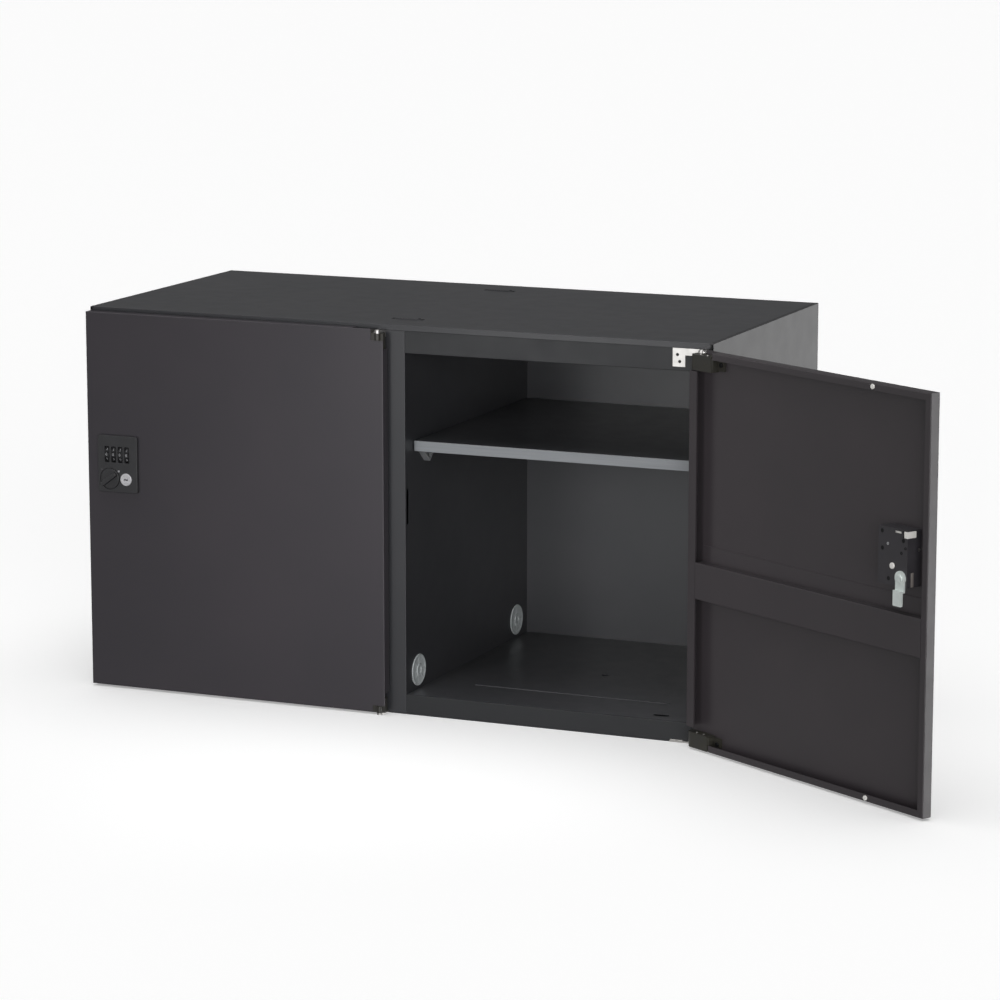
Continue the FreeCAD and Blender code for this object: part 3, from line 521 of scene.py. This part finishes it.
def glyph(text: str, height: float, thickness: float) -> Surface:
    """Flat figure with a little thickness.

    Args:
        text: what it says.
        height: height of a figure.
        thickness: how far it stands up from z = 0.

    Returns:
        The figure, centred on the origin, reading along +X with its top to +Y.
    """
    curve = bpy.data.curves.new("figure", "FONT")
    curve.body, curve.align_x, curve.align_y = text, "CENTER", "CENTER"
    curve.resolution_u = FIGURE_ROUNDING
    holder = bpy.data.objects.new("figure", curve)
    mesh = bpy.data.meshes.new_from_object(holder)
    co = np.zeros(len(mesh.vertices) * 3)
    mesh.vertices.foreach_get("co", co)
    co = co.reshape(-1, 3)
    low, high = co.min(0), co.max(0)
    co = (co - (low + high) / 2) * (height / (high[1] - low[1]))
    faces = [tuple(p.vertices) for p in mesh.polygons]
    edges = [edge for face in faces for edge in zip(face, face[1:] + face[:1])]
    known = set(edges)
    rim = [(a, b) for a, b in edges if (b, a) not in known]
    count = len(co)
    top = co + (0, 0, thickness)
    walls = [(a, b, b + count, a + count) for a, b in rim]
    back = [tuple(reversed(f)) for f in faces]
    front = [tuple(k + count for k in f) for f in faces]
    bpy.data.objects.remove(holder)
    bpy.data.meshes.remove(mesh)
    return Surface(np.concatenate([co, top]), back + front + walls)


# ------------------------------------------------------------------ the object
@dataclass
class Dresser:
    """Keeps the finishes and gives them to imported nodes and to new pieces."""

    frame: dict[str, Any]

    def __post_init__(self) -> None:
        """Build every finish once."""
        self.made = {key: finish.material() for key, finish in FINISHES.items()}

    def coat(self, node: str, finish: str) -> None:
        """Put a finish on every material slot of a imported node."""
        target = self.frame["nodes"][node]
        for place in target.material_slots:
            place.material = self.made[finish]
        if not target.material_slots:
            target.data.materials.append(self.made[finish])
        LOG.info("%s finished as %s", node, self.made[finish].name)

    def dress(self, piece: bpy.types.Object, finish: str, body: str, replaces: Sequence[str] = ()) -> None:
        """Give a new piece its finish and the body that it rides on.

        Args:
            piece: the new object.
            finish: key of its finish.
            body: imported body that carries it.
            replaces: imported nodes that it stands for.
        """
        piece.data.materials.append(self.made[finish])
        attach(piece, body)
        if replaces:
            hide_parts(*replaces)
        LOG.info("%s rides on %s as %s, %d faces", piece.name, body, self.made[finish].name,
                 len(piece.data.polygons))


@dataclass
class Carcass:
    """The steel box: panels, floor, shelves and the fittings fixed to them."""

    dresser: Dresser
    cap_ribs: int = 8
    cap_steps: int = 96
    rib_rise_mm: float = 0.55
    rib_starts: float = 0.8
    rib_slope: float = 0.15

    def coat_nodes(self) -> None:
        """Give every fixed node its finish."""
        finishes = {"shelf_clips": "clip", "wall_caps": "cap", "hinge_brackets": "zinc", "hinge_pins": "zinc",
                    "bracket_screws": "screw"}
        # The side panels and rails take darker copies of the paint as painted shade; the back, floor trays
        # and shelves take a lighter copy as painted light.
        for finish, nodes in (("side", ("left_side_panel", "right_side_panel")),
                              ("carcass", ("top_panel", "bottom_panel", "centre_partition")),
                              ("lining", ("back_panel", "floor_trays")),
                              ("frame", ("top_rails", "bottom_rails"))):
            finishes.update({node: finish for node in nodes})
        for side in SIDES:
            finishes[f"{side}_shelf"] = "lining"
            finishes[f"{side}_shelf_trim"] = "edging"
        for node, finish in finishes.items():
            self.dresser.coat(node, finish)

    def cap_surface(self, radius: float) -> Surface:
        """Face of one wall cap, its height changing with the angle where the ribs are.

        Args:
            radius: the cap's outer radius.

        Returns:
            The cap lying on z = 0: a raised rim, a sunk ring crossed by ribs, and a dished hub.
        """
        hub_mm = [(0.0, 1.3), (4.0, 1.3), (4.6, 2.1), (5.4, 2.4), (7.6, 2.3), (8.2, 1.5)]
        ring_mm = [(8.9, 0.9), (13.5, 0.8), (17.8, 0.9)]
        rim_mm = [(18.5, 1.2), (19.2, 1.6), (20.8, 1.5), (21.5, 0.8), (21.5, 0.0), (0.0, 0.0)]
        profile_mm = np.array(hub_mm + ring_mm + rim_mm)
        scale = radius / (profile_mm[:, 0].max() * MM)
        turn = np.linspace(0, 2 * math.pi, self.cap_steps, endpoint=False)[:, None]
        rib = np.clip((np.cos(self.cap_ribs * turn) - self.rib_starts) / self.rib_slope, 0, 1)
        place = np.arange(len(profile_mm)) - len(hub_mm)
        sunk = ((place >= 0) & (place < len(ring_mm)))[None, :]
        heights = (profile_mm[:, 1][None, :] + rib * sunk * self.rib_rise_mm) * MM
        radii = np.broadcast_to(profile_mm[:, 0][None, :] * MM * scale, heights.shape)
        return Surface.revolved(radii, heights, False)

    def build_caps(self) -> None:
        """Ribbed caps on both faces of the centre wall."""
        low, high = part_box("wall_caps")
        wall_low, wall_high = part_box("centre_partition")
        radius = (high.z - low.z) / 2
        height = (high.z + low.z) / 2
        cap = self.cap_surface(radius)
        parts = []
        for face, direction in ((wall_low.x, -1), (wall_high.x, 1)):
            turn = axes((0, 0, 1), (0, direction, 0), (direction, 0, 0))
            parts += [cap.placed(turn, (face, y, height)) for y in (low.y + radius, high.y - radius)]
        piece = Surface.joined(parts).piece("wall_cap_faces")
        self.dresser.dress(piece, "cap", "cabinet", ("wall_caps",))


@dataclass
class DoorPlace:
    """Where one door stands at rest, and the way there from its closed place."""

    frame: dict[str, Any]
    side: str
    pivot: np.ndarray
    turn: np.ndarray

    @staticmethod
    def read(frame: dict[str, Any], side: str) -> "DoorPlace":
        """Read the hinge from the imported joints.

        Args:
            side: "left" or "right".

        Returns:
            The door's place. A door at rest is turned from closed by minus the lower end of its range.
        """
        joint = next(j for j in frame["joints"] if j["name"] == f"{side}_door_hinge")
        angle = math.radians(-min(joint["range_deg"]))
        c, s = math.cos(angle), math.sin(angle)
        turn = np.array([[c, -s, 0], [s, c, 0], [0, 0, 1.0]])
        return DoorPlace(frame, side, np.array(joint["pos_m"], float), turn)

    def name(self, part: str) -> str:
        """Name of a part on this door's side."""
        return f"{self.side}_{part}"

    def closed(self, point: Sequence[float]) -> np.ndarray:
        """Move a point at rest to where it is with the door closed."""
        return (np.asarray(point, float) - self.pivot) @ self.turn + self.pivot

    def rest(self, shape: Surface) -> Surface:
        """Move a shape made for the closed door to where the door stands at rest."""
        return shape.placed(self.turn, self.pivot - self.turn @ self.pivot)

    def closed_box(self, part: str) -> tuple[np.ndarray, np.ndarray]:
        """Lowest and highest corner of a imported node, with the door closed."""
        node = self.frame["nodes"][self.name(part)]
        co = np.zeros(len(node.data.vertices) * 3)
        node.data.vertices.foreach_get("co", co)
        closed = self.closed(co.reshape(-1, 3))
        return closed.min(0), closed.max(0)

    def joint_point(self, joint: str) -> np.ndarray:
        """Where a joint on this door is, with the door closed."""
        found = next(j for j in self.frame["joints"] if j["name"] == self.name(joint))
        return self.closed(found["pos_m"])


@dataclass
class Door:
    """One door: pan, stiffener, hinge blocks and their fittings."""

    dresser: Dresser
    place: DoorPlace
    rivet_radius_mm: float = 1.5
    rivet_height_mm: float = 0.8
    rivet_shares: tuple[float, float] = (0.3, 0.62)
    rivet_setback: float = 0.2
    block_height_mm: float = 20.0
    foot_mm: float = 14.0
    plate_thickness_mm: float = 1.6
    plate_half_depth: float = 0.36
    plate_inset_mm: float = 1.2
    plate_edge_mm: float = 0.5
    plate_gap_mm: float = 0.1
    plate_back_mm: float = 4.3

    def coat_nodes(self) -> None:
        """Give the door's own nodes their finishes."""
        # Each door takes its own tinted copy of the paint: a painted tint of the light that falls on that
        # door.
        paint = self.place.name("door")
        finishes = {"door_panel": paint, "door_stiffener": paint, "hinge_blocks": "hinge",
                    "hinge_screws": "screw", "door_bumpers": "white"}
        for part, finish in finishes.items():
            self.dresser.coat(self.place.name(part), finish)

    def build_hinge_fittings(self) -> None:
        """Rivets in the blocks' ends, and the upright plate between each block and its foot."""
        low, high = self.place.closed_box("hinge_blocks")
        body = self.place.name("door")
        block_height, foot = self.block_height_mm * MM, self.foot_mm * MM
        depth = high[1] - low[1]
        rivets, plates = [], []
        radius, rise = self.rivet_radius_mm * MM, self.rivet_height_mm * MM
        for z, outward in ((high[2], 1), (high[2] - block_height, -1), (low[2] + block_height, 1)):
            for share in self.rivet_shares:
                head = dome(radius, rise)
                turn = axes((1, 0, 0), (0, outward, 0), (0, 0, outward))
                rivets.append(head.placed(turn, (low[0] + foot + share * (high[0] - low[0] - foot),
                                                 (low[1] + high[1]) / 2 + depth * self.rivet_setback, z)))
        for z in (high[2] - block_height / 2, low[2] + block_height / 2):
            half = (self.plate_thickness_mm * MM / 2, depth * self.plate_half_depth,
                    block_height / 2 - self.plate_inset_mm * MM)
            plate = Surface.slab(half, self.plate_edge_mm * MM)
            plates.append(plate.placed(np.eye(3), (low[0] + foot - half[0] - self.plate_gap_mm * MM,
                                                   low[1] + self.plate_back_mm * MM + half[1], z)))
        rivet_piece = self.place.rest(Surface.joined(rivets)).piece(self.place.name("hinge_rivets"))
        self.dresser.dress(rivet_piece, "zinc", body)
        plate_piece = self.place.rest(Surface.joined(plates)).piece(self.place.name("hinge_plates"))
        self.dresser.dress(plate_piece, "hinge", body)


@dataclass
class Lock:
    """One dial and key lock: face plate, dials, knob, key cylinder and the case behind."""

    dresser: Dresser
    place: DoorPlace
    dial_count: int = 4
    dial_steps: int = 24
    dial_flat_share: float = 0.935
    dial_flat_deg: float = 12.0
    dial_rise_deg: float = 3.0
    dial_sharp_deg: float = 25.0
    dial_chamfer_mm: float = 0.6
    bore_mm: float = 2.1
    figure_mm: float = 3.9
    figure_thickness_mm: float = 0.12
    mark_radius_mm: float = 1.5
    mark_height_mm: float = 0.35
    open_mark_mm: tuple[float, float] = (13.4, 10.6)
    shut_mark_mm: tuple[float, float] = (-12.4, 11.6)
    rib_half_mm: tuple[float, float, float] = (0.7, 2.1, 8.8)
    rib_edge_mm: float = 0.5
    rib_depth_mm: float = 7.6
    rib_foot_mm: float = 0.8

    def coat_nodes(self) -> None:
        """Give the lock's nodes their finishes."""
        finishes = {"lock_plate": "black", "lock_case": "case", "case_screws": "screw", "dial_shaft": "zinc",
                    "key_barrel": "nickel", "key_plug": "nickel", "knob": "knob", "lock_cam": "cam",
                    "cam_screw": "cam", "setting_lever": "white", "setting_button": "white"}
        for part, finish in finishes.items():
            self.dresser.coat(self.place.name(part), finish)

    def ring(self, radius: float, width: float) -> Surface:
        """Ten-sided dial: sunk flats for the figures and raised grips between them.

        Args:
            radius: radius over the grips.
            width: width along its axis.

        Returns:
            The ring about Z. Its radius at an angle d from a flat's middle is the flat's distance over
            cos d out to dial_flat_deg, and from there rises to the grip over dial_rise_deg.
        """
        points = DIGITS * self.dial_steps
        turn = np.arange(points) * 2 * math.pi / points
        step = 2 * math.pi / DIGITS
        away = np.abs((turn + step / 2) % step - step / 2)
        flat = self.dial_flat_share * radius / np.cos(away)
        share = np.clip((away - math.radians(self.dial_flat_deg)) / math.radians(self.dial_rise_deg), 0, 1)
        outer = flat + (radius - flat) * share * share * (3 - 2 * share)
        edge, half = self.dial_chamfer_mm * MM, width / 2
        bore = np.full_like(outer, self.bore_mm * MM)
        radii = np.stack([bore, outer - edge, outer, outer, outer - edge, bore], axis=1)
        heights = np.array([-half, -half, edge - half, half - edge, half, half])
        return Surface.revolved(radii, np.broadcast_to(heights, radii.shape), True)

    def build_dials(self) -> None:
        """A ring and its ten figures for every dial."""
        names = [f"dial_{i + 1}" for i in range(self.dial_count)]
        for name in names:
            low, high = self.place.closed_box(name)
            centre = self.place.joint_point(f"{name}_spin")
            centre[0] = (low[0] + high[0]) / 2
            radius, width = (high[2] - low[2]) / 2, high[0] - low[0]
            across = axes((0, -1, 0), (0, 0, 1), (-1, 0, 0))
            ring = self.place.rest(self.ring(radius, width).placed(across, centre))
            ring_piece = ring.piece(self.place.name(f"{name}_ring"), self.dial_sharp_deg)
            body = self.place.name(name)
            self.dresser.dress(ring_piece, "dial", body, (body,))
            figures = self.place.rest(Surface.joined(self.figures(radius, centre)))
            figure_piece = figures.piece(self.place.name(f"{name}_figures"))
            self.dresser.dress(figure_piece, "ink", body)

    def figures(self, radius: float, centre: np.ndarray) -> list[Surface]:
        """Figures 0 to 9 round a dial, one on each flat, reading upright at the front."""
        placed = []
        for digit in range(DIGITS):
            figure = glyph(str(digit), self.figure_mm * MM, self.figure_thickness_mm * MM)
            angle = digit * 2 * math.pi / DIGITS
            outward = np.array([0, -math.cos(angle), math.sin(angle)])
            upward = np.array([0, math.sin(angle), math.cos(angle)])
            turn = axes((1, 0, 0), upward, outward)
            placed.append(figure.placed(turn, centre + outward * self.dial_flat_share * radius))
        return placed

    def build_marks(self) -> None:
        """Index marks on the plate: white where the knob points when unlocked, grey where locked."""
        plate_low, _ = self.place.closed_box("lock_plate")
        knob = self.place.joint_point("knob_turn")
        head = dome(self.mark_radius_mm * MM, self.mark_height_mm * MM)
        turn = axes((1, 0, 0), (0, 0, 1), (0, -1, 0))
        body = self.place.name("door")
        for name, finish, (dx_mm, dz_mm) in (("open_mark", "ink", self.open_mark_mm),
                                             ("shut_mark", "faded", self.shut_mark_mm)):
            mark = head.placed(turn, (knob[0] + dx_mm * MM, plate_low[1], knob[2] + dz_mm * MM))
            self.dresser.dress(self.place.rest(mark).piece(self.place.name(name)), finish, body)

    def build_case_fittings(self) -> None:
        """Rolled eyelets in the case's inner face and the upright rib on its side, next to the cam."""
        low, high = self.place.closed_box("lock_case")
        body = self.place.name("door")
        eyelet_mm = np.array([(0.7, 0.0), (1.9, 0.0), (1.8, 0.35), (1.4, 0.5), (0.9, 0.35)])
        eyelet = Surface.revolved(eyelet_mm[:, 0] * MM, eyelet_mm[:, 1] * MM, True)
        back = axes((1, 0, 0), (0, 0, -1), (0, 1, 0))
        for name, finish, spots_mm in (("case_eyelets", "screw", ((10.5, 28.6), (3.6, 22.0))),
                                       ("case_pin_eyelet", "clip", ((34.3, 20.3),))):
            eyelets = [eyelet.placed(back, (low[0] + x * MM, high[1], high[2] - drop * MM))
                       for x, drop in spots_mm]
            piece = self.place.rest(Surface.joined(eyelets)).piece(self.place.name(name))
            self.dresser.dress(piece, finish, body)
        rib = Surface.slab([h * MM for h in self.rib_half_mm], self.rib_edge_mm * MM)
        rib = rib.placed(np.eye(3), (low[0] - self.rib_half_mm[0] * MM, high[1] - self.rib_depth_mm * MM,
                                     low[2] + (self.rib_half_mm[2] + self.rib_foot_mm) * MM))
        self.dresser.dress(self.place.rest(rib).piece(self.place.name("case_side_rib")), "rib", body)


# ------------------------------------------------------------------ stage, light and camera
@dataclass(frozen=True)
class Softbox:
    """A soft patch of the studio round the object.

    It is full inside inner_deg of its direction and fades to nothing at outer_deg.
    """

    direction: tuple[float, float, float]
    inner_deg: float
    outer_deg: float
    strength: float


@dataclass
class Studio:
    """Pale floor, soft surround and the camera."""

    surround: float = 0.02
    boxes: tuple[Softbox, ...] = (
        Softbox((0.0, 0.0, 1.0), 6, 42, 2.6),
        Softbox((0.0, -1.0, 0.0), 5, 30, 0.8),
        Softbox((0.50, -0.86, 0.10), 5, 30, 3.9),
        Softbox((-1.0, 0.0, 0.30), 10, 35, 0.8),
        Softbox((-0.39, 0.90, 0.19), 5, 25, 0.15),
        Softbox((-0.39, -0.90, -0.17), 4, 16, 0.5),
        Softbox((-0.974, -0.11, -0.19), 4, 20, 0.2),
        Softbox((0.952, 0.23, -0.20), 3, 10, 13.0),
        Softbox((0.25, 0.92, -0.30), 6, 32, 1.6),
        Softbox((-0.80, 0.52, -0.30), 6, 32, 1.2),
    )
    lamp_place: tuple[float, float, float] = (-0.2, -1.6, 0.6)
    lamp_aim: tuple[float, float, float] = (0.3, 0.2, 0.2)
    lamp_size: float = 0.35
    lamp_watts: float = 0.5
    lamp_spread_deg: float = 50.0
    floor_reach: float = 60.0
    floor_roughness: float = 0.9
    floor_glow: float = 0.28
    view_reach: float = 200.0
    lens_mm: float = 137.4
    camera_place: tuple[float, float, float] = (2.0808, -4.7246, 1.2288)
    camera_yaw: float = 0.4031
    camera_pitch_down: float = 0.1867

    def light(self) -> None:
        """Surround whose brightness depends on direction alone: the sum of the softboxes."""
        world = bpy.data.worlds.new("studio")
        bpy.context.scene.world = world
        world.use_nodes = True
        tree = world.node_tree
        tree.nodes.clear()
        coords = add_node(tree, "ShaderNodeTexCoord")
        facing = add_node(tree, "ShaderNodeVectorMath", {"operation": "NORMALIZE"},
                          {0: coords.outputs["Generated"]})
        total = add_node(tree, "ShaderNodeMath", {"operation": "ADD", 0: self.surround, 1: 0.0}).outputs[0]
        for softbox in self.boxes:
            aim = np.array(softbox.direction) / np.linalg.norm(softbox.direction)
            dot = add_node(tree, "ShaderNodeVectorMath", {"operation": "DOT_PRODUCT", 1: tuple(aim)},
                           {0: facing.outputs[0]})
            fade = add_node(tree, "ShaderNodeMapRange",
                            {"interpolation_type": "SMOOTHSTEP",
                             "From Min": math.cos(math.radians(softbox.outer_deg)),
                             "From Max": math.cos(math.radians(softbox.inner_deg)), "To Min": 0.0,
                             "To Max": softbox.strength}, {"Value": dot.outputs["Value"]})
            total = add_node(tree, "ShaderNodeMath", {"operation": "ADD"},
                             {0: total, 1: fade.outputs["Result"]}).outputs[0]
        sky = add_node(tree, "ShaderNodeBackground", {"Color": (1, 1, 1, 1)}, {"Strength": total})
        add_node(tree, "ShaderNodeOutputWorld", links={"Surface": sky.outputs[0]})

    def hang_lamp(self) -> None:
        """Small soft lamp, in front and to the left, that reaches into the open bay."""
        data = bpy.data.lights.new("bay_lamp", "AREA")
        data.shape, data.size = "DISK", self.lamp_size
        data.energy, data.spread = self.lamp_watts, math.radians(self.lamp_spread_deg)
        lamp = bpy.data.objects.new("bay_lamp", data)
        lamp.location = self.lamp_place
        aim = Vector(self.lamp_aim) - Vector(self.lamp_place)
        lamp.rotation_euler = aim.to_track_quat("-Z", "Y").to_euler()
        bpy.context.scene.collection.objects.link(lamp)

    def lay_floor(self) -> None:
        """Pale seamless floor that neither lights the object nor shows in its reflections."""
        reach = self.floor_reach
        square = [(-reach, -reach, 0), (reach, -reach, 0), (reach, reach, 0), (-reach, reach, 0)]
        mesh = bpy.data.meshes.new("floor")
        mesh.from_pydata(square, [], [(0, 1, 2, 3)])
        floor = bpy.data.objects.new("floor", mesh)
        bpy.context.scene.collection.objects.link(floor)
        material, shader = new_material("pale_floor")
        shader.inputs["Base Color"].default_value = linear("#f4f4f4")
        shader.inputs["Roughness"].default_value = self.floor_roughness
        shader.inputs["Emission Color"].default_value = linear("#ffffff")
        shader.inputs["Emission Strength"].default_value = self.floor_glow
        mesh.materials.append(material)
        floor.visible_diffuse = False
        floor.visible_glossy = False
        floor.visible_shadow = False

    def set_camera(self) -> None:
        """Long lens, turned to the left and tipped down."""
        data = bpy.data.cameras.new("camera")
        data.lens, data.sensor_width = self.lens_mm, SENSOR_WIDTH_MM
        data.clip_end = self.view_reach
        camera = bpy.data.objects.new("camera", data)
        camera.location = self.camera_place
        camera.rotation_euler = (math.pi / 2 - self.camera_pitch_down, 0.0, self.camera_yaw)
        bpy.context.scene.collection.objects.link(camera)
        bpy.context.scene.camera = camera


def main() -> None:
    """Load the frame, dress every node, build the detail and set the stage."""
    logging.basicConfig(level=logging.INFO, format="%(message)s")
    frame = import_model()
    bpy.context.scene.view_settings.view_transform = "Standard"
    studio = Studio()
    studio.set_camera()
    studio.light()
    studio.hang_lamp()
    studio.lay_floor()
    dresser = Dresser(frame)
    carcass = Carcass(dresser)
    carcass.coat_nodes()
    carcass.build_caps()
    for side in SIDES:
        place = DoorPlace.read(frame, side)
        door = Door(dresser, place)
        door.coat_nodes()
        door.build_hinge_fittings()
        lock = Lock(dresser, place)
        lock.coat_nodes()
        lock.build_dials()
        lock.build_marks()
        lock.build_case_fittings()


if __name__ == "__main__":
    main()
